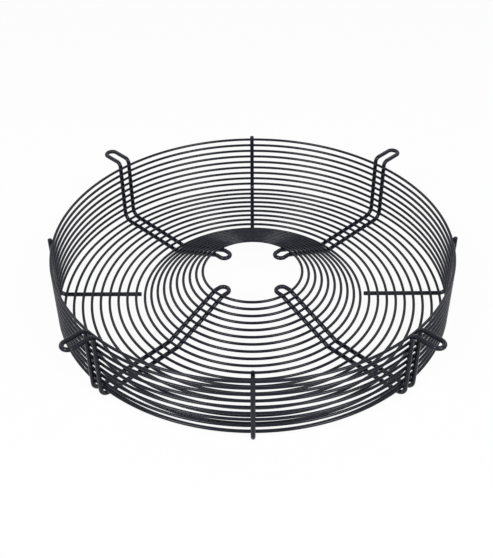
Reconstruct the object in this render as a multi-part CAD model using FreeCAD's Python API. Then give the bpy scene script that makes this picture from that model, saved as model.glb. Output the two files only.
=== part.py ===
"""Wire fan guard: a shallow basket of welded rings on four mounting arms and four ribs.

Up is +Z and the basket opens upwards. The origin is on the guard's axis, level with the underside
of the arms and ribs, on which the guard rests. The arms lie along the X and Y axes, the ribs between
them. All rings lie inside the arms and ribs, as they are welded on a mandrel from within.
"""
import FreeCAD, Part
import math
import os

# Wire sizes and the gap that stands for the weld line where two wires cross
RING_WIRE = 2.8
ARM_WIRE = 4.4
RIB_WIRE = 4.4
WELD_GAP = 0.05

# The basket's rings, measured at the wire's centre unless a name says otherwise
RIM_DIAMETER = 400.0            # over the rim wire, which is the guard's nominal size
RIM_HEIGHT = 66.0               # above the plane of the floor rings
CORNER_RADIUS = 5.2             # round the corner between wall and floor
CONE_FOOT_RADIUS = 111.8        # last ring of the flat floor
HUB_RING_RADIUS = 50.9          # last ring of the cone
CONE_ANGLE = 24.6               # degrees above the floor
WALL_RING_COUNT = 9             # with the rim ring
FLOOR_RING_COUNT = 10           # with the one at the cone's foot
CONE_RING_COUNT = 9             # with the hub ring

# Each arm is one wire, closed to a long loop with an eye at one end and a hub loop at the other
ARM_COUNT = 4
ARM_SPACING = 11.7              # between the centres of the loop's two sides
EYE_REACH = 22.1                # from the wall to the middle of the eye's round end
EYE_BEND = 4.8
KINK_BEND = 8.0                 # at the foot and the top of the cone
HUB_LOOP_REACH = 5.7            # from the bend at the top of the cone to the loop's round end

# Each rib is one bent wire with sawn ends, midway between two arms
RIB_TOP_END = 1.8               # past the rim ring
RIB_INNER_END = 4.9             # past the last but one floor ring


def seat(wire):
    """Distance from a ring's centre to the centre of the wire that carries it."""
    return RING_WIRE / 2 + WELD_GAP + wire / 2


RING_PLANE = max(ARM_WIRE, RIB_WIRE) / 2 + max(seat(ARM_WIRE), seat(RIB_WIRE))
RIM_RADIUS = (RIM_DIAMETER - RING_WIRE) / 2
RIM_Z = RING_PLANE + RIM_HEIGHT
CORNER_Z = RING_PLANE + CORNER_RADIUS
FLOOR_EDGE_RADIUS = RIM_RADIUS - CORNER_RADIUS


def evenly(first, last, count):
    """Equally spaced values from first to last, both included."""
    return [first + (last - first) * step / (count - 1) for step in range(count)]


def tangent_bend(before, corner, after, radius):
    """Start, middle and end of the arc that rounds a corner."""
    back = (before - corner).normalize()
    onward = (after - corner).normalize()
    half_angle = back.getAngle(onward) / 2
    inset = radius / math.tan(half_angle)
    inward = (back + onward).normalize()
    middle = corner + inward * (radius / math.sin(half_angle) - radius)
    return corner + back * inset, middle, corner + onward * inset


def bent_path(corners, radii):
    """Straight runs joined by tangent arcs, as a list of edges."""
    edges = []
    here = corners[0]
    for before, corner, after, radius in zip(corners, corners[1:], corners[2:], radii):
        start, middle, end = tangent_bend(before, corner, after, radius)
        edges.append(Part.LineSegment(here, start).toShape())
        edges.append(Part.Arc(start, middle, end).toShape())
        here = end
    edges.append(Part.LineSegment(here, corners[-1]).toShape())
    return edges


def round_wire(edges, diameter):
    """Solid wire of round section along a path of edges that follow one another."""
    path = Part.Wire(Part.__sortEdges__(edges))
    first = path.Edges[0]
    start = first.valueAt(first.FirstParameter)
    along = first.tangentAt(first.FirstParameter)
    section = Part.Face(Part.Wire([Part.makeCircle(diameter / 2, start, along)]))
    return path.makePipe(section)


def ring(radius, z):
    """Ring of wire about the guard's axis."""
    return Part.makeTorus(radius, RING_WIRE / 2, FreeCAD.Vector(0, 0, z))


class ArmProfile:
    """Side view of an arm: x runs outwards in the plane of one of the loop's two sides."""

    def __init__(self):
        slope = math.radians(CONE_ANGLE)
        self.half_spacing = ARM_SPACING / 2
        self.leg_x = self.beside(RIM_RADIUS + seat(ARM_WIRE))
        self.base_z = RING_PLANE - seat(ARM_WIRE)
        self.eye_x = self.leg_x + EYE_REACH
        self.eye_z = RIM_Z + EYE_BEND
        self.rise = math.tan(slope)
        self.lift = seat(ARM_WIRE) / math.cos(slope)
        inset = KINK_BEND * math.tan(slope / 2)
        self.kink_x = self.beside(CONE_FOOT_RADIUS) - inset
        last_contact = self.beside(HUB_RING_RADIUS) - seat(ARM_WIRE) * math.sin(slope)
        self.top_x = last_contact - inset * math.cos(slope)
        self.top_z = self.height(self.top_x)
        self.hub_x = self.top_x - HUB_LOOP_REACH

    def beside(self, radius):
        """Where a circle about the axis crosses the plane of one side of the loop."""
        return math.sqrt(radius ** 2 - self.half_spacing ** 2)

    def height(self, x):
        """Height of the arm's centre on the sloping run."""
        return self.base_z + (self.kink_x - x) * self.rise

    def cone_ring_z(self, radius):
        """Height of a ring that rests on the sloping run."""
        return self.height(self.beside(radius)) + self.lift

    def side(self, y):
        """Edges of one side of the loop, from the eye down the wall and in to the hub."""
        corners = [
            FreeCAD.Vector(self.eye_x, y, self.eye_z),
            FreeCAD.Vector(self.leg_x, y, self.eye_z),
            FreeCAD.Vector(self.leg_x, y, self.base_z),
            FreeCAD.Vector(self.kink_x, y, self.base_z),
            FreeCAD.Vector(self.top_x, y, self.top_z),
            FreeCAD.Vector(self.hub_x, y, self.top_z),
        ]
        corner_bend = CORNER_RADIUS + seat(ARM_WIRE)
        return bent_path(corners, [EYE_BEND, corner_bend, KINK_BEND, KINK_BEND])

    def round_end(self, x, z, outwards):
        """Half circle that joins the two sides, bulging outwards (1) or towards the axis (-1)."""
        side = self.half_spacing
        tip = FreeCAD.Vector(x + outwards * side, 0, z)
        return Part.Arc(FreeCAD.Vector(x, side, z), tip, FreeCAD.Vector(x, -side, z)).toShape()

    def loop(self):
        """Edges of the whole closed loop."""
        eye = self.round_end(self.eye_x, self.eye_z, 1)
        hub = self.round_end(self.hub_x, self.top_z, -1)
        return self.side(self.half_spacing) + [hub] + self.side(-self.half_spacing) + [eye]


def turned_copies(name, shape, count, first_angle):
    """Copies of a shape spaced evenly about the axis, each under its own name."""
    copies = {}
    for number in range(count):
        turned = shape.copy()
        turned.rotate(FreeCAD.Vector(), FreeCAD.Vector(0, 0, 1), first_angle + 360 / count * number)
        copies[f"{name}_{number + 1}"] = turned
    return copies


def wall_rings():
    """Rim ring and the wall rings below it, down to the corner."""
    heights = evenly(RIM_Z, CORNER_Z, WALL_RING_COUNT)
    rings = {"rim_ring": ring(RIM_RADIUS, heights[0])}
    for number, z in enumerate(heights[1:], start=2):
        rings[f"wall_ring_{number}"] = ring(RIM_RADIUS, z)
    return rings


def floor_radii():
    """Radii of the flat rings, from the corner in to the foot of the cone."""
    return evenly(FLOOR_EDGE_RADIUS, CONE_FOOT_RADIUS, FLOOR_RING_COUNT)


def floor_rings():
    """Flat rings of the basket's floor."""
    return {f"floor_ring_{number}": ring(radius, RING_PLANE)
            for number, radius in enumerate(floor_radii(), start=1)}


def cone_rings(profile):
    """Rings that climb the arms' sloping runs, and the hub ring at the top."""
    radii = evenly(CONE_FOOT_RADIUS, HUB_RING_RADIUS, CONE_RING_COUNT + 1)[1:]
    rings = {f"cone_ring_{number}": ring(radius, profile.cone_ring_z(radius))
             for number, radius in enumerate(radii[:-1], start=1)}
    rings["hub_ring"] = ring(radii[-1], profile.cone_ring_z(radii[-1]))
    return rings


def mounting_arms(profile):
    """Closed wire loops that carry every ring and end in the mounting eyes."""
    return turned_copies("mounting_arm", round_wire(profile.loop(), ARM_WIRE), ARM_COUNT, 0.0)


def ribs():
    """Single wires that hold the wall and floor rings between the arms."""
    leg_x = RIM_RADIUS + seat(RIB_WIRE)
    base_z = RING_PLANE - seat(RIB_WIRE)
    corners = [
        FreeCAD.Vector(leg_x, 0, RIM_Z + RIB_TOP_END),
        FreeCAD.Vector(leg_x, 0, base_z),
        FreeCAD.Vector(floor_radii()[-2] - RIB_INNER_END, 0, base_z),
    ]
    rib = round_wire(bent_path(corners, [CORNER_RADIUS + seat(RIB_WIRE)]), RIB_WIRE)
    return turned_copies("rib", rib, ARM_COUNT, 180 / ARM_COUNT)


def main():
    """Build every piece and write one file for each."""
    profile = ArmProfile()
    pieces = {**wall_rings(), **floor_rings(), **cone_rings(profile), **mounting_arms(profile), **ribs()}
    os.makedirs("parts", exist_ok=True)
    for name, shape in pieces.items():
        shape.exportStep(f"parts/{name}.step")


main()
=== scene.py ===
"""Looks of a wire fan guard: smooth coated wire, weld fillets, and a white studio round them."""

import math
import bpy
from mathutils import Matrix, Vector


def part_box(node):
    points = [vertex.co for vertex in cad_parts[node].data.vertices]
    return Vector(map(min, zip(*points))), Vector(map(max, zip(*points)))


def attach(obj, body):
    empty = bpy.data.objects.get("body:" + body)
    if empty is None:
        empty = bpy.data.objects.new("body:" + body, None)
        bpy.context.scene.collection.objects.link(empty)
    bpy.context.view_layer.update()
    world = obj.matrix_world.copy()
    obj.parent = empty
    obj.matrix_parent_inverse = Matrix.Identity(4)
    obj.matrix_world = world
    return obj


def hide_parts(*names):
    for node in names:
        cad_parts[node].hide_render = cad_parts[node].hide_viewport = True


bl_info = {
    "name": "Wire Fan Guard",
    "version": (1, 0, 0),
    "blender": (4, 5, 0),
    "location": "View3D > Sidebar > Fan Guard",
    "description": "Builds the coated wires and welds of a basket fan guard, and a studio for it",
    "category": "Object",
}

import bpy
import numpy as np
from bpy.props import FloatProperty, FloatVectorProperty, IntProperty, PointerProperty
from mathutils import Matrix, Vector

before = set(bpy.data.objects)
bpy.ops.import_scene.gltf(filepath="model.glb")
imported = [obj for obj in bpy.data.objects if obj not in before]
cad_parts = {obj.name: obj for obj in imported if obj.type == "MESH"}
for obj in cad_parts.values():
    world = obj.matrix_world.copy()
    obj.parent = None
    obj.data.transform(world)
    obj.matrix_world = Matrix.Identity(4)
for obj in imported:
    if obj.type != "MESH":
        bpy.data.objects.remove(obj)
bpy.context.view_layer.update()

BODY = "root"
FULL_TURN = 2 * math.pi
UP = np.array([0.0, 0.0, 1.0])
PLACE_TOLERANCE = 0.0004        # how far a piece's box may miss that of its CAD node
LEAST_RUN_STEPS = 2
LEAST_BEND_STEPS = 3
SAWN_END_STEPS = 5
# Painted sheen: the arms, ribs and welds are painted lighter than the rings, standing in for the
# highlights on thick wires; the rings get none.
RING_PAINTED_SHEEN = 0.0           # added to the coat's tone, from 0 for its dark colour to 1
FRAME_PAINTED_SHEEN = 0.1


def length(name, description, default):
    """A length property in metres."""
    return FloatProperty(name=name, description=description, default=default, unit="LENGTH",
                         precision=6)


def angle(name, description, degrees):
    """An angle property, stored in radians."""
    return FloatProperty(name=name, description=description, default=math.radians(degrees),
                         subtype="ANGLE")


def colour(name, description, default):
    """A colour property in linear light."""
    return FloatVectorProperty(name=name, description=description, default=default, size=3,
                               subtype="COLOR", min=0, max=1)


def factor(name, description, default, high=1.0):
    """A plain number from nought to a limit."""
    return FloatProperty(name=name, description=description, default=default, min=0, max=high)


def count(name, description, default):
    """A whole number of like things."""
    return IntProperty(name=name, description=description, default=default, min=1)


# Sizes and colours that a user would change

class WireSizes(bpy.types.PropertyGroup):
    """Thickness and smoothness of the three wires."""

    ring: length("Ring wire", "Diameter of the wire of every ring", 0.0028)
    arm: length("Arm wire", "Diameter of the wire of the mounting arms", 0.0044)
    rib: length("Rib wire", "Diameter of the wire of the ribs", 0.0044)
    weld_gap: length("Weld line", "Gap between two wires where they cross", 0.00005)
    flatness: length("Flatness", "How far a ring's steps may lie inside its circle", 0.00001)
    ring_sides: count("Ring sides", "Sides of the ring wire", 16)
    frame_sides: count("Arm and rib sides", "Sides of the thick wire", 24)
    run_step: length("Run step", "Longest step along a straight run", 0.006)
    bend_step: angle("Bend step", "Largest turn in one step of a bend", 5.0)


class BasketSizes(bpy.types.PropertyGroup):
    """The rings' sizes, at the wire's centre unless a name says otherwise."""

    rim_diameter: length("Rim diameter", "Over the rim wire", 0.4)
    rim_height: length("Rim height", "Rim above the plane of the floor rings", 0.066)
    corner_radius: length("Corner radius", "Round the corner between wall and floor", 0.0052)
    cone_foot_radius: length("Cone foot radius", "Last ring of the flat floor", 0.1118)
    hub_ring_radius: length("Hub ring radius", "Last ring of the cone", 0.0509)
    cone_angle: angle("Cone angle", "Slope of the cone above the floor", 24.6)
    wall_rings: count("Wall rings", "Rings of the wall, with the rim", 9)
    floor_rings: count("Floor rings", "Rings of the floor, with the one at the cone's foot", 10)
    cone_rings: count("Cone rings", "Rings of the cone, with the hub ring", 9)


class ArmSizes(bpy.types.PropertyGroup):
    """Each arm is one closed loop of wire with an eye and a hub loop at its ends."""

    arms: count("Arms", "Number of mounting arms, with a rib midway between two", 4)
    spacing: length("Spacing", "Between the centres of the loop's two sides", 0.0117)
    eye_reach: length("Eye reach", "From the wall to the middle of the eye's round end", 0.0221)
    eye_bend: length("Eye bend", "Bend radius below the eye", 0.0048)
    kink_bend: length("Kink bend", "Bend radius at the foot and top of the cone", 0.008)
    hub_loop_reach: length("Hub loop reach", "From the upper kink to the loop's round end", 0.0057)


class RibSizes(bpy.types.PropertyGroup):
    """Each rib is one bent wire with sawn ends, softened by the coat."""

    top_end: length("Top end", "How far the rib runs past the rim ring", 0.0018)
    inner_end: length("Inner end", "How far the rib runs past the last but one floor ring", 0.0049)
    end_round: length("End round", "Rounding of a sawn end", 0.0005)


class WeldSizes(bpy.types.PropertyGroup):
    """The fillet of weld and coat that fills the corner between two crossing wires."""

    depth: length("Fillet depth", "How far apart the wires are at a fillet's edge", 0.00055)
    sink: length("Sink", "How far a fillet's ends lie inside the wires", 0.0002)
    waist: factor("Waist", "Width of a fillet halfway, as a share of its ends", 0.86)
    around: count("Around", "Steps round a fillet", 12)
    levels: count("Levels", "Rows of points from wire to wire", 4)


class CoatLook(bpy.types.PropertyGroup):
    """Satin powder coat, nearly black."""

    dark: colour("Dark", "Coat where it lies thin", (0.0030, 0.0038, 0.0085))
    light: colour("Light", "Coat where it lies thick", (0.0075, 0.0090, 0.0165))
    roughness: factor("Roughness", "Middle roughness of the coat", 0.19)
    roughness_spread: factor("Roughness spread", "How far the roughness varies", 0.07)
    specular: factor("Specular", "Strength of the coat's mirror reflection", 0.21)
    cloud_size: length("Cloud size", "Distance between thick and thin areas", 0.02)
    peel_size: length("Peel size", "Distance between the waves of the coat's peel", 0.0012)
    grain_size: length("Grain size", "Distance between the coat's fine grains", 0.0003)
    peel_height: length("Peel height", "Height of the peel", 0.000012)
    grain_share: factor("Grain share", "Height of the grain as a share of the peel's", 0.25)
    cloud_tone: factor("Cloud tone", "How far the clouds shift the tone", 1.2, 4.0)
    grain_tone: factor("Grain tone", "How far the grain shifts the tone", 0.5, 4.0)
    tone_start: factor("Tone start", "Clouds and grain below this leave the coat dark", 0.35, 4.0)


class StudioLook(bpy.types.PropertyGroup):
    """Camera, lamps, floor and background."""

    view_azimuth: angle("View azimuth", "Where the camera stands: 0 looks along +Y", -44.5)
    view_elevation: angle("View elevation", "Camera above the horizon", 38.624)
    view_roll: angle("View roll", "Tilt of the picture", -0.546)
    view_distance: length("View distance", "Camera to the point that it looks at", 0.934605)
    aim_aside: length("Aim aside", "Where the camera looks, to the right of the axis", -0.006189)
    aim_height: length("Aim height", "Where the camera looks, above the floor", 0.021931)
    focal_length: FloatProperty(name="Focal length", description="Of the camera, in millimetres",
                                default=58.429, min=10)
    sensor: FloatProperty(name="Sensor", description="Long side of the sensor, in millimetres",
                          default=36.0, min=10)
    floor_size: length("Floor size", "Side of the square floor", 24.0)
    floor_drop: length("Floor drop", "Gap between the lowest wire and the floor", 0.0001)
    floor_colour: colour("Floor colour", "Colour of the floor", (0.86, 0.86, 0.86))
    floor_glow: factor("Floor glow", "Share of plain white in what is seen of the floor", 0.95)
    ambient: factor("Ambient", "Strength of the white world as a light", 0.05, 4.0)
    front_power: factor("Front power", "Power of each front lamp, in watts", 25.0, 1000.0)
    front_angle: angle("Front angle", "Front lamps to either side of the view", 40.0)
    back_power: factor("Back power", "Power of each back lamp, in watts", 4.0, 1000.0)
    back_angle: angle("Back angle", "Back lamps to either side of the view", 135.0)
    lamp_size: length("Lamp size", "Diameter of every soft lamp", 0.8)
    lamp_distance: length("Lamp distance", "From the guard to a lamp", 2.0)
    lamp_height: angle("Lamp height", "Lamps above the horizon", 42.0)


# Shapes worked out as arrays

def bent_line(corners, radii, wire):
    """Points and directions along straight runs joined by tangent arcs, in a side view.

    A run is cut into equal steps. At the angle a an arc's point is
    centre + radius * (along * sin a - inward * cos a), and its direction
    along * cos a + inward * sin a.
    """
    corners = [np.array(corner, float) for corner in corners]
    points, directions = [], []

    def add_run(start, end):
        distance = np.linalg.norm(end - start)
        steps = max(LEAST_RUN_STEPS, round(distance / wire.run_step))
        points.append(start + (end - start) * np.arange(steps)[:, None] / steps)
        directions.append(np.tile((end - start) / distance, (steps, 1)))

    here = corners[0]
    for before, corner, after, radius in zip(corners, corners[1:], corners[2:], radii):
        along = (corner - before) / np.linalg.norm(corner - before)
        onward = (after - corner) / np.linalg.norm(after - corner)
        turn = math.acos(float(along @ onward))
        inset = radius * math.tan(turn / 2)
        start = corner - along * inset
        inward = onward - along * (along @ onward)
        inward /= np.linalg.norm(inward)
        add_run(here, start)
        steps = max(LEAST_BEND_STEPS, round(turn / wire.bend_step))
        angles = (np.arange(steps) * turn / steps)[:, None]
        centre = start + inward * radius
        points.append(centre + radius * (along * np.sin(angles) - inward * np.cos(angles)))
        directions.append(along * np.cos(angles) + inward * np.sin(angles))
        here = corner + onward * inset
    add_run(here, corners[-1])
    points.append(corners[-1][None])
    directions.append(directions[-1][-1:])
    return np.concatenate(points), np.concatenate(directions)


def tube(centres, across, directions, radii, sides):
    """Wire surface: centre + radius * (across * cos a + up * sin a), up being direction x across.

    It has one row of points for each centre and one column for each angle a.
    """
    up = np.cross(directions, across)
    angles = (np.arange(sides) * FULL_TURN / sides)[None, :, None]
    circle = across[:, None] * np.cos(angles) + up[:, None] * np.sin(angles)
    return centres[:, None] + np.reshape(radii, (-1, 1, 1)) * circle


def grid_faces(rows, columns, rows_close=False):
    """Faces of a grid of points whose columns close on themselves, and whose rows may."""
    row = np.arange(rows if rows_close else rows - 1)[:, None]
    column = np.arange(columns)[None]
    below = (row + 1) % rows
    beside = (column + 1) % columns
    corners = (row * columns + column, row * columns + beside,
               below * columns + beside, below * columns + column)
    return np.stack(corners, -1).reshape(-1, 4)


def in_space(side_view, y=0.0):
    """Points (x, z) of a side view set in space at a distance y beside the axis."""
    return np.stack([side_view[:, 0], np.full(len(side_view), y), side_view[:, 1]], -1)


def turned(points, about_axis):
    """Points turned about the guard's axis."""
    cosine, sine = math.cos(about_axis), math.sin(about_axis)
    return points @ np.array([[cosine, sine, 0.0], [-sine, cosine, 0.0], [0.0, 0.0, 1.0]])


class Layout:
    """Places of all rings, arms and ribs, from the sizes: x outwards, z up, in metres."""

    def __init__(self, scene):
        self.wire, self.basket = scene.guard_wire, scene.guard_basket
        self.arm, self.rib = scene.guard_arm, scene.guard_rib
        basket, slope = self.basket, self.basket.cone_angle
        self.arm_seat, self.rib_seat = self.seat(self.wire.arm), self.seat(self.wire.rib)
        thickest = max(self.wire.arm, self.wire.rib)
        self.ring_plane = thickest / 2 + max(self.arm_seat, self.rib_seat)
        self.rim_radius = (basket.rim_diameter - self.wire.ring) / 2
        self.rim_z = self.ring_plane + basket.rim_height
        self.wall_heights = np.linspace(self.rim_z, self.ring_plane + basket.corner_radius,
                                        basket.wall_rings)
        self.floor_radii = np.linspace(self.rim_radius - basket.corner_radius,
                                       basket.cone_foot_radius, basket.floor_rings)
        self.cone_radii = np.linspace(basket.cone_foot_radius, basket.hub_ring_radius,
                                      basket.cone_rings + 1)[1:]
        self.half_spacing = self.arm.spacing / 2
        self.arm_leg_x = self.beside(self.rim_radius + self.arm_seat)
        self.arm_base_z = self.ring_plane - self.arm_seat
        inset = self.arm.kink_bend * math.tan(slope / 2)
        self.kink_x = self.beside(basket.cone_foot_radius) - inset
        last_contact = self.beside(basket.hub_ring_radius) - self.arm_seat * math.sin(slope)
        self.top_x = last_contact - inset * math.cos(slope)
        lift = self.arm_seat / math.cos(slope)
        self.cone_heights = self.slope_height(self.beside(self.cone_radii)) + lift

    def seat(self, carrier):
        """Distance from a ring's centre to the centre of the wire that carries it."""
        return self.wire.ring / 2 + self.wire.weld_gap + carrier / 2

    def beside(self, radius):
        """Where a circle about the axis crosses the plane of one side of an arm."""
        return np.sqrt(radius ** 2 - self.half_spacing ** 2)

    def slope_height(self, x):
        """Height of the arm's centre on its sloping run."""
        return self.arm_base_z + (self.kink_x - x) * math.tan(self.basket.cone_angle)

    def arm_corners(self):
        """Corners of an arm seen from the side, and the radii of the bends there."""
        eye_z = self.rim_z + self.arm.eye_bend
        top_z = self.slope_height(self.top_x)
        corners = [
            (self.arm_leg_x + self.arm.eye_reach, eye_z),
            (self.arm_leg_x, eye_z),
            (self.arm_leg_x, self.arm_base_z),
            (self.kink_x, self.arm_base_z),
            (self.top_x, top_z),
            (self.top_x - self.arm.hub_loop_reach, top_z),
        ]
        kink = self.arm.kink_bend
        return corners, [self.arm.eye_bend, self.basket.corner_radius + self.arm_seat, kink, kink]

    def rib_corners(self):
        """Corners of a rib seen from the side, and the radius of its bend."""
        leg_x = self.rim_radius + self.rib_seat
        base_z = self.ring_plane - self.rib_seat
        inner_x = self.floor_radii[-2] - self.rib.inner_end
        corners = [(leg_x, self.rim_z + self.rib.top_end), (leg_x, base_z), (inner_x, base_z)]
        return corners, [self.basket.corner_radius + self.rib_seat]


def arm_loop(layout):
    """Centres, inward sides and directions along the whole closed loop of an arm.

    One side runs from the eye to the hub, a half circle turns round the hub end, the other side
    runs back, and a half circle closes the eye. A half circle's point at the angle a is
    end + half the spacing * (out * sin a + side * cos a).
    """
    points, directions = bent_line(*layout.arm_corners(), layout.wire)
    half = layout.half_spacing
    right = np.array([0.0, 1.0, 0.0])
    inward = np.tile(-right, (len(points), 1))
    steps = round(math.pi / layout.wire.bend_step)
    angles = (np.arange(steps) * math.pi / steps)[:, None]

    def half_circle(end, out, side):
        outward = out * np.sin(angles) + side * np.cos(angles)
        onward = out * np.cos(angles) - side * np.sin(angles)
        return in_space(end[None]) + half * outward, -outward, onward

    there, back = slice(None, -1), slice(None, 0, -1)
    stretches = [
        (in_space(points, half)[there], inward[there], in_space(directions)[there]),
        half_circle(points[-1], np.array([-1.0, 0.0, 0.0]), right),
        (in_space(points, -half)[back], -inward[back], -in_space(directions)[back]),
        half_circle(points[0], np.array([1.0, 0.0, 0.0]), -right),
    ]
    return [np.concatenate(parts) for parts in zip(*stretches)]


def ring_surface(radius, z, wire):
    """A torus: the wire's circle carried round the axis. Its steps lie inside the true circle by
    radius * (1 - cos(half a step)), which is kept to the stated flatness."""
    steps = math.ceil(math.pi / math.acos(1 - wire.flatness / radius))
    angles = np.arange(steps) * FULL_TURN / steps
    outward = np.stack([np.cos(angles), np.sin(angles), np.zeros(steps)], -1)
    surface = tube(outward * radius + UP * z, outward, np.cross(UP, outward),
                   np.full(steps, wire.ring / 2), wire.ring_sides)
    return surface, grid_faces(steps, wire.ring_sides, rows_close=True)


def arm_surface(layout):
    """The arm's round wire along its closed loop."""
    centres, across, directions = arm_loop(layout)
    sides = layout.wire.frame_sides
    surface = tube(centres, across, directions, np.full(len(centres), layout.wire.arm / 2), sides)
    return surface, grid_faces(len(centres), sides, rows_close=True)


def rib_surface(layout):
    """The rib's round wire, with both sawn ends rounded and closed.

    Towards an end the wire's radius is R - e + e * cos a while its centre moves on by e * sin a,
    with e the rounding. A ring of half that radius and a middle point close the flat end.
    """
    points, directions = bent_line(*layout.rib_corners(), layout.wire)
    radius, rounding, sides = layout.wire.rib / 2, layout.rib.end_round, layout.wire.frame_sides
    angles = np.linspace(math.pi / 2, 0.0, SAWN_END_STEPS)
    back_off = np.concatenate([[0.0], rounding * (1 - np.sin(angles))])[:, None]
    end_radii = radius - rounding + rounding * np.cos(angles)
    end_radii = np.concatenate([end_radii[:1] / 2, end_radii])
    centres = np.concatenate([points[:1] + directions[:1] * back_off, points[1:-1],
                              points[-1:] - directions[-1:] * back_off[::-1]])
    ends = (len(back_off), 1)
    directions = np.concatenate([np.tile(directions[:1], ends), directions[1:-1],
                                 np.tile(directions[-1:], ends)])
    radii = np.concatenate([end_radii, np.full(len(points) - 2, radius), end_radii[::-1]])
    across = np.tile([0.0, -1.0, 0.0], (len(centres), 1))
    surface = tube(in_space(centres), across, in_space(directions), radii, sides).reshape(-1, 3)
    first_tip, last_tip = len(surface), len(surface) + 1
    surface = np.concatenate([surface, in_space(centres[:1]), in_space(centres[-1:])])
    column = np.arange(sides)
    beside = (column + 1) % sides
    last_row = (len(centres) - 1) * sides
    top = np.stack([np.full(sides, first_tip), beside, column], -1)
    bottom = np.stack([np.full(sides, last_tip), last_row + column, last_row + beside], -1)
    return surface, grid_faces(len(centres), sides).tolist() + top.tolist() + bottom.tolist()


def crossings(layout, beside, carrier_seat, floor_rings, cone_rings):
    """Where one straight side of a wire crosses the rings that it carries, beside the axis.

    Gives points on the ring's centre line, the ring's directions there, points on the wire's centre
    line, and the wire's directions. A ring of radius r meets the side at the angle whose sine is
    the distance beside the axis / r.
    """
    walls = layout.wall_heights
    floors = layout.floor_radii[:floor_rings]
    cones = layout.cone_radii[:cone_rings]
    slope = layout.basket.cone_angle

    def by_zone(on_wall, on_floor, on_cone):
        return np.concatenate([np.full(len(walls), on_wall), np.full(len(floors), on_floor),
                               np.full(len(cones), on_cone)])

    outside = layout.rim_radius + carrier_seat
    leg_x = math.sqrt(outside ** 2 - beside ** 2)
    radii = by_zone(layout.rim_radius, floors, cones)
    heights = by_zone(walls, layout.ring_plane, layout.cone_heights[:cone_rings])
    sine = beside / by_zone(outside, floors, cones)
    cosine = np.sqrt(1 - sine ** 2)
    on_ring = np.stack([radii * cosine, radii * sine, heights], -1)
    ring_ways = np.stack([-sine, cosine, np.zeros_like(sine)], -1)
    wire_x = by_zone(leg_x, floors, cones)
    wire_z = by_zone(walls, layout.ring_plane - carrier_seat, layout.slope_height(cones))
    on_wire = in_space(np.stack([wire_x, wire_z], -1), beside)
    outwards = by_zone(0.0, 1.0, math.cos(slope))
    upwards = by_zone(1.0, 0.0, -math.sin(slope))
    wire_ways = in_space(np.stack([outwards, upwards], -1))
    return on_ring, ring_ways, on_wire, wire_ways


def weld_fillets(on_ring, ring_ways, on_wire, wire_ways, wire_radius, ring_radius, sizes):
    """Fillets round the contacts of crossing wires: one closed spool of points for each.

    The contact lies where the two centre lines come nearest. At the angle a a spool's edge lies
    U cos a along the ring and V sin a along the carrying wire, where the wires have drawn apart by
    the fillet's depth: U^2 = 2 * wire radius * depth and V^2 = 2 * ring radius * depth. A wire of
    radius R falls away by R - sqrt(R^2 - u^2) at the distance u. Halfway the spool draws in to its
    waist, by the square of the distance from the middle.
    """
    apart = on_ring - on_wire
    lean = np.sum(ring_ways * wire_ways, 1)
    ring_part, wire_part = np.sum(ring_ways * apart, 1), np.sum(wire_ways * apart, 1)
    ring_shift = (lean * wire_part - ring_part) / (1 - lean ** 2)
    wire_shift = (wire_part - lean * ring_part) / (1 - lean ** 2)
    near_wire = on_wire + wire_ways * wire_shift[:, None]
    between = on_ring + ring_ways * ring_shift[:, None] - near_wire
    distance = np.linalg.norm(between, axis=1)[:, None]
    normals = between / distance
    gaps = distance - wire_radius - ring_radius
    handed = np.sign(np.sum(np.cross(ring_ways, wire_ways) * normals, 1))[:, None]

    around = np.arange(sizes.around) * FULL_TURN / sizes.around
    level = np.linspace(0.0, 1.0, sizes.levels)[:, None]
    pinch = sizes.waist + (1 - sizes.waist) * (2 * level - 1) ** 2
    u = math.sqrt(2 * wire_radius * sizes.depth) * np.cos(around) * pinch
    v = math.sqrt(2 * ring_radius * sizes.depth) * np.sin(around) * pinch
    wire_fall = wire_radius - np.sqrt(wire_radius ** 2 - u ** 2)
    ring_fall = ring_radius - np.sqrt(ring_radius ** 2 - v ** 2)
    low = -wire_fall - sizes.sink
    height = low + (gaps[:, :, None] + ring_fall + sizes.sink - low) * level
    contacts = (near_wire + normals * wire_radius)[:, None, None]
    spools = (contacts + u[None, ..., None] * ring_ways[:, None, None]
              + v[None, ..., None] * (wire_ways * handed)[:, None, None]
              + height[..., None] * normals[:, None, None])
    points_each = sizes.levels * sizes.around
    starts = (np.arange(len(spools)) * points_each)[:, None]
    walls = starts[:, :, None] + grid_faces(sizes.levels, sizes.around)[None]
    bottoms = starts + np.arange(sizes.around)[::-1][None]
    tops = starts + points_each - sizes.around + np.arange(sizes.around)[None]
    return spools, walls.reshape(-1, 4).tolist() + bottoms.tolist() + tops.tolist()


# Pieces

def new_piece(name, points, faces, material, node=None):
    """A smooth mesh object that rides on the guard and may stand for a CAD node."""
    points = points.reshape(-1, 3)
    mesh = bpy.data.meshes.new(name)
    mesh.from_pydata(points.tolist(), [], faces if isinstance(faces, list) else faces.tolist())
    mesh.shade_smooth()
    mesh.materials.append(material)
    piece = bpy.data.objects.new(name, mesh)
    bpy.context.scene.collection.objects.link(piece)
    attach(piece, BODY)
    if node:
        low, high = (np.array(corner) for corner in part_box(node))
        miss = max(np.abs(points.min(0) - low).max(), np.abs(points.max(0) - high).max())
        if miss > PLACE_TOLERANCE:
            raise ValueError(f"{name} misses {node} by {miss * 1000:.2f} mm")
        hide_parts(node)
    return piece


def add_rings(scene, radii, heights, nodes):
    """One coated ring for each radius and height."""
    coat = coat_material("ring_coat", scene.guard_coat, RING_PAINTED_SHEEN)
    for radius, z, node in zip(radii, heights, nodes):
        surface, faces = ring_surface(radius, z, scene.guard_wire)
        new_piece(f"coated_{node}", surface, faces, coat, node)


# Materials

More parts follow.
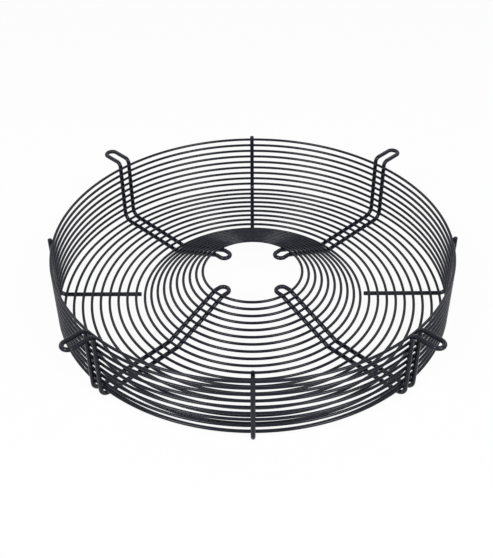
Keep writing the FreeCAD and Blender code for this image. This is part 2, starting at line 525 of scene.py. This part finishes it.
class Field:
    """A value that varies over a surface: an output socket, on which arithmetic adds Math nodes."""

    def __init__(self, tree, socket):
        self.tree = tree
        self.socket = socket

    def math(self, operation, first, second):
        return self.tree.add("ShaderNodeMath", {"operation": operation}, {0: first, 1: second})

    def __add__(self, other):
        return self.math("ADD", self, other)

    def __sub__(self, other):
        return self.math("SUBTRACT", self, other)

    def __rsub__(self, other):
        return self.math("SUBTRACT", other, self)

    def __mul__(self, other):
        return self.math("MULTIPLY", self, other)

    __radd__ = __add__
    __rmul__ = __mul__


class NodeTree:
    """An empty node tree to which nodes are added."""

    def __init__(self, owner):
        owner.use_nodes = True
        self.tree = owner.node_tree
        self.tree.nodes.clear()

    def add(self, kind, settings=None, inputs=None, output=0):
        """Adds a node of a kind with its settings, then its inputs' values or links. A socket is
        named, or counted among those in use. Gives one output, or nothing where there is none."""
        node = self.tree.nodes.new(kind)
        for name, value in (settings or {}).items():
            setattr(node, name, value)
        for name, value in (inputs or {}).items():
            socket = self.pick(node.inputs, name)
            if isinstance(value, Field):
                self.tree.links.new(value.socket, socket)
            else:
                socket.default_value = value
        return Field(self, self.pick(node.outputs, output)) if len(node.outputs) else None

    def pick(self, sockets, name):
        """The socket of a name or number among those in use."""
        in_use = [socket for socket in sockets if socket.enabled]
        if isinstance(name, int):
            return in_use[name]
        return next(socket for socket in in_use if socket.name == name)


def coat_material(name, look, painted_sheen):
    """Satin powder coat: cloudy tone and gloss, orange peel and fine grain, and a painted sheen
    that lightens the whole tone.
    """
    if name in bpy.data.materials:
        return bpy.data.materials[name]
    material = bpy.data.materials.new(name)
    tree = NodeTree(material)
    place = tree.add("ShaderNodeTexCoord", output="Object")

    def noise(size, detail):
        return tree.add("ShaderNodeTexNoise", {"noise_dimensions": "3D"},
                        {"Vector": place, "Scale": 1 / size, "Detail": detail, "Roughness": 0.5})

    clouds = noise(look.cloud_size, 2.0)
    peel = noise(look.peel_size, 1.0)
    grain = noise(look.grain_size, 2.0)
    # The painted sheen lowers the tone's start, so the whole coat comes out lighter.
    shade = clouds * look.cloud_tone + grain * look.grain_tone - (look.tone_start - painted_sheen)
    tone = tree.add("ShaderNodeMix", {"data_type": "RGBA", "clamp_factor": True},
                    {"Factor": shade, "A": (*look.dark, 1.0), "B": (*look.light, 1.0)})
    gloss = look.roughness + (clouds + grain - 1.0) * look.roughness_spread
    relief = tree.add("ShaderNodeBump", None, {
        "Strength": 1.0, "Distance": look.peel_height, "Height": peel + grain * look.grain_share})
    surface = tree.add("ShaderNodeBsdfPrincipled", None, {
        "Base Color": tone, "Roughness": gloss, "Specular IOR Level": look.specular,
        "Normal": relief})
    tree.add("ShaderNodeOutputMaterial", None, {"Surface": surface})
    return material


def seen_directly(tree):
    """One for a ray from the camera, a reflection or a transmission, and nought for any other."""
    rays = [tree.add("ShaderNodeLightPath", output=name)
            for name in ("Is Camera Ray", "Is Glossy Ray", "Is Transmission Ray")]
    return tree.add("ShaderNodeClamp", None, {"Value": rays[0] + rays[1] + rays[2]})


# Operators

class GUARD_OT_wall_rings(bpy.types.Operator):
    """Rim ring and the wall rings below it"""

    bl_idname = "guard.wall_rings"
    bl_label = "Wall Rings"

    def execute(self, context):
        layout = Layout(context.scene)
        heights = layout.wall_heights
        nodes = ["rim_ring", *(f"wall_ring_{number}" for number in range(2, len(heights) + 1))]
        add_rings(context.scene, np.full(len(heights), layout.rim_radius), heights, nodes)
        return {"FINISHED"}


class GUARD_OT_floor_rings(bpy.types.Operator):
    """Flat rings of the basket's floor"""

    bl_idname = "guard.floor_rings"
    bl_label = "Floor Rings"

    def execute(self, context):
        layout = Layout(context.scene)
        radii = layout.floor_radii
        nodes = [f"floor_ring_{number}" for number in range(1, len(radii) + 1)]
        add_rings(context.scene, radii, np.full(len(radii), layout.ring_plane), nodes)
        return {"FINISHED"}


class GUARD_OT_cone_rings(bpy.types.Operator):
    """Rings that climb the cone, and the hub ring at its top"""

    bl_idname = "guard.cone_rings"
    bl_label = "Cone and Hub Rings"

    def execute(self, context):
        layout = Layout(context.scene)
        radii = layout.cone_radii
        nodes = [*(f"cone_ring_{number}" for number in range(1, len(radii))), "hub_ring"]
        add_rings(context.scene, radii, layout.cone_heights, nodes)
        return {"FINISHED"}


class GUARD_OT_mounting_arms(bpy.types.Operator):
    """Closed wire loops that carry every ring and end in the mounting eyes"""

    bl_idname = "guard.mounting_arms"
    bl_label = "Mounting Arms"

    def execute(self, context):
        scene = context.scene
        # The frame wires' coat carries a painted sheen that makes it lighter than the rings'.
        coat = coat_material("frame_coat_painted_sheen", scene.guard_coat, FRAME_PAINTED_SHEEN)
        surface, faces = arm_surface(Layout(scene))
        for number in range(scene.guard_arm.arms):
            node = f"mounting_arm_{number + 1}"
            placed = turned(surface, FULL_TURN / scene.guard_arm.arms * number)
            new_piece(f"coated_{node}", placed, faces, coat, node)
        return {"FINISHED"}


class GUARD_OT_ribs(bpy.types.Operator):
    """Single bent wires midway between the arms"""

    bl_idname = "guard.ribs"
    bl_label = "Ribs"

    def execute(self, context):
        scene = context.scene
        # Same coat as the arms, painted lighter than the rings as sheen.
        coat = coat_material("frame_coat_painted_sheen", scene.guard_coat, FRAME_PAINTED_SHEEN)
        surface, faces = rib_surface(Layout(scene))
        for number in range(scene.guard_arm.arms):
            node = f"rib_{number + 1}"
            placed = turned(surface, FULL_TURN / scene.guard_arm.arms * (number + 0.5))
            new_piece(f"coated_{node}", placed, faces, coat, node)
        return {"FINISHED"}


class GUARD_OT_welds(bpy.types.Operator):
    """Fillets at every crossing of a ring with an arm or a rib"""

    bl_idname = "guard.welds"
    bl_label = "Weld Fillets"

    def execute(self, context):
        scene = context.scene
        layout = Layout(scene)
        wire, basket, half = layout.wire, layout.basket, layout.half_spacing
        # The welds share the frame's coat, with its painted sheen.
        coat = coat_material("frame_coat_painted_sheen", scene.guard_coat, FRAME_PAINTED_SHEEN)
        both_sides = [
            crossings(layout, side, layout.arm_seat, basket.floor_rings, basket.cone_rings)
            for side in (half, -half)
        ]
        arm_places = [np.concatenate(parts) for parts in zip(*both_sides)]
        rib_places = crossings(layout, 0.0, layout.rib_seat, basket.floor_rings - 1, 0)
        arm_welds = weld_fillets(*arm_places, wire.arm / 2, wire.ring / 2, scene.guard_weld)
        rib_welds = weld_fillets(*rib_places, wire.rib / 2, wire.ring / 2, scene.guard_weld)
        step = FULL_TURN / scene.guard_arm.arms
        for number in range(scene.guard_arm.arms):
            for kind, welds, start in (("arm", arm_welds, 0.0), ("rib", rib_welds, step / 2)):
                spools, faces = welds
                placed = turned(spools, start + step * number)
                new_piece(f"{kind}_welds_{number + 1}", placed, faces, coat)
        return {"FINISHED"}


class GUARD_OT_studio(bpy.types.Operator):
    """White floor, soft lamps, world and camera"""

    bl_idname = "guard.studio"
    bl_label = "Studio"

    def execute(self, context):
        look = context.scene.guard_studio
        self.add_floor(context.scene, look)
        self.set_world(context.scene, look)
        self.add_lamps(context.scene, look)
        self.add_camera(context.scene, look)
        context.scene.view_settings.view_transform = "Standard"
        return {"FINISHED"}

    def add_floor(self, scene, look):
        """White floor that keeps the guard's shadow."""
        half = look.floor_size / 2
        mesh = bpy.data.meshes.new("floor")
        mesh.from_pydata([(x * half, y * half, -look.floor_drop)
                          for x, y in ((-1, -1), (1, -1), (1, 1), (-1, 1))], [], [(0, 1, 2, 3)])
        floor = bpy.data.objects.new("floor", mesh)
        scene.collection.objects.link(floor)
        material = bpy.data.materials.new("studio_floor")
        tree = NodeTree(material)
        matt = tree.add("ShaderNodeBsdfDiffuse", None, {"Color": (*look.floor_colour, 1.0)})
        white = tree.add("ShaderNodeEmission", None, {"Color": (1.0, 1.0, 1.0, 1.0)})
        share = seen_directly(tree) * look.floor_glow
        surface = tree.add("ShaderNodeMixShader", None, {0: share, 1: matt, 2: white})
        tree.add("ShaderNodeOutputMaterial", None, {"Surface": surface})
        mesh.materials.append(material)

    def set_world(self, scene, look):
        """World that is seen as plain white and lights the guard only faintly."""
        scene.world = bpy.data.worlds.new("studio")
        tree = NodeTree(scene.world)
        strength = seen_directly(tree) * (1 - look.ambient) + look.ambient
        surface = tree.add("ShaderNodeBackground", None,
                           {"Color": (1.0, 1.0, 1.0, 1.0), "Strength": strength})
        tree.add("ShaderNodeOutputWorld", None, {"Surface": surface})

    def add_lamps(self, scene, look):
        """Soft lamps at either side of the view, and weaker ones behind the guard."""
        lamps = (
            ("front_left_lamp", look.front_power, -look.front_angle),
            ("front_right_lamp", look.front_power, look.front_angle),
            ("back_left_lamp", look.back_power, -look.back_angle),
            ("back_right_lamp", look.back_power, look.back_angle),
        )
        for name, power, from_view in lamps:
            light = bpy.data.lights.new(name, "AREA")
            light.shape = "DISK"
            light.size = look.lamp_size
            light.energy = power
            lamp = bpy.data.objects.new(name, light)
            lamp.matrix_world = (Matrix.Rotation(look.view_azimuth + from_view, 4, "Z")
                                 @ Matrix.Rotation(math.pi / 2 - look.lamp_height, 4, "X")
                                 @ Matrix.Translation((0.0, 0.0, look.lamp_distance)))
            scene.collection.objects.link(lamp)

    def add_camera(self, scene, look):
        """Camera that looks at a point near the axis from a distance and a height angle."""
        camera_data = bpy.data.cameras.new("camera")
        camera_data.lens = look.focal_length
        camera_data.sensor_width = look.sensor
        camera = bpy.data.objects.new("camera", camera_data)
        away = Vector((0.0, -math.cos(look.view_elevation), math.sin(look.view_elevation)))
        aim = Vector((look.aim_aside, 0.0, look.aim_height))
        camera.matrix_world = (Matrix.Rotation(look.view_azimuth, 4, "Z")
                               @ Matrix.Translation(aim + away * look.view_distance)
                               @ Matrix.Rotation(math.pi / 2 - look.view_elevation, 4, "X")
                               @ Matrix.Rotation(look.view_roll, 4, "Z"))
        scene.collection.objects.link(camera)
        scene.camera = camera


class GUARD_PT_panel(bpy.types.Panel):
    """Lists the guard's sizes and its building steps"""

    bl_idname = "GUARD_PT_panel"
    bl_label = "Wire Fan Guard"
    bl_space_type = "VIEW_3D"
    bl_region_type = "UI"
    bl_category = "Fan Guard"

    def draw(self, context):
        for name, group in SETTINGS.items():
            box = self.layout.box()
            box.label(text=group.__name__)
            for key in group.__annotations__:
                box.prop(getattr(context.scene, name), key)
        for step in STEPS:
            self.layout.operator(step.bl_idname)


SETTINGS = {
    "guard_wire": WireSizes,
    "guard_basket": BasketSizes,
    "guard_arm": ArmSizes,
    "guard_rib": RibSizes,
    "guard_weld": WeldSizes,
    "guard_coat": CoatLook,
    "guard_studio": StudioLook,
}
STEPS = (
    GUARD_OT_wall_rings,
    GUARD_OT_floor_rings,
    GUARD_OT_cone_rings,
    GUARD_OT_mounting_arms,
    GUARD_OT_ribs,
    GUARD_OT_welds,
    GUARD_OT_studio,
)


def register():
    """Registers the settings, the building steps and the panel."""
    for each in (*SETTINGS.values(), *STEPS, GUARD_PT_panel):
        bpy.utils.register_class(each)
    for name, group in SETTINGS.items():
        setattr(bpy.types.Scene, name, PointerProperty(type=group))


def unregister():
    """Takes away what register added."""
    for name in SETTINGS:
        delattr(bpy.types.Scene, name)
    for each in (GUARD_PT_panel, *reversed(STEPS), *reversed(SETTINGS.values())):
        bpy.utils.unregister_class(each)


def main():
    """Builds every piece and the studio."""
    register()
    bpy.ops.guard.wall_rings()
    bpy.ops.guard.floor_rings()
    bpy.ops.guard.cone_rings()
    bpy.ops.guard.mounting_arms()
    bpy.ops.guard.ribs()
    bpy.ops.guard.welds()
    bpy.ops.guard.studio()


if __name__ == "__main__":
    main()
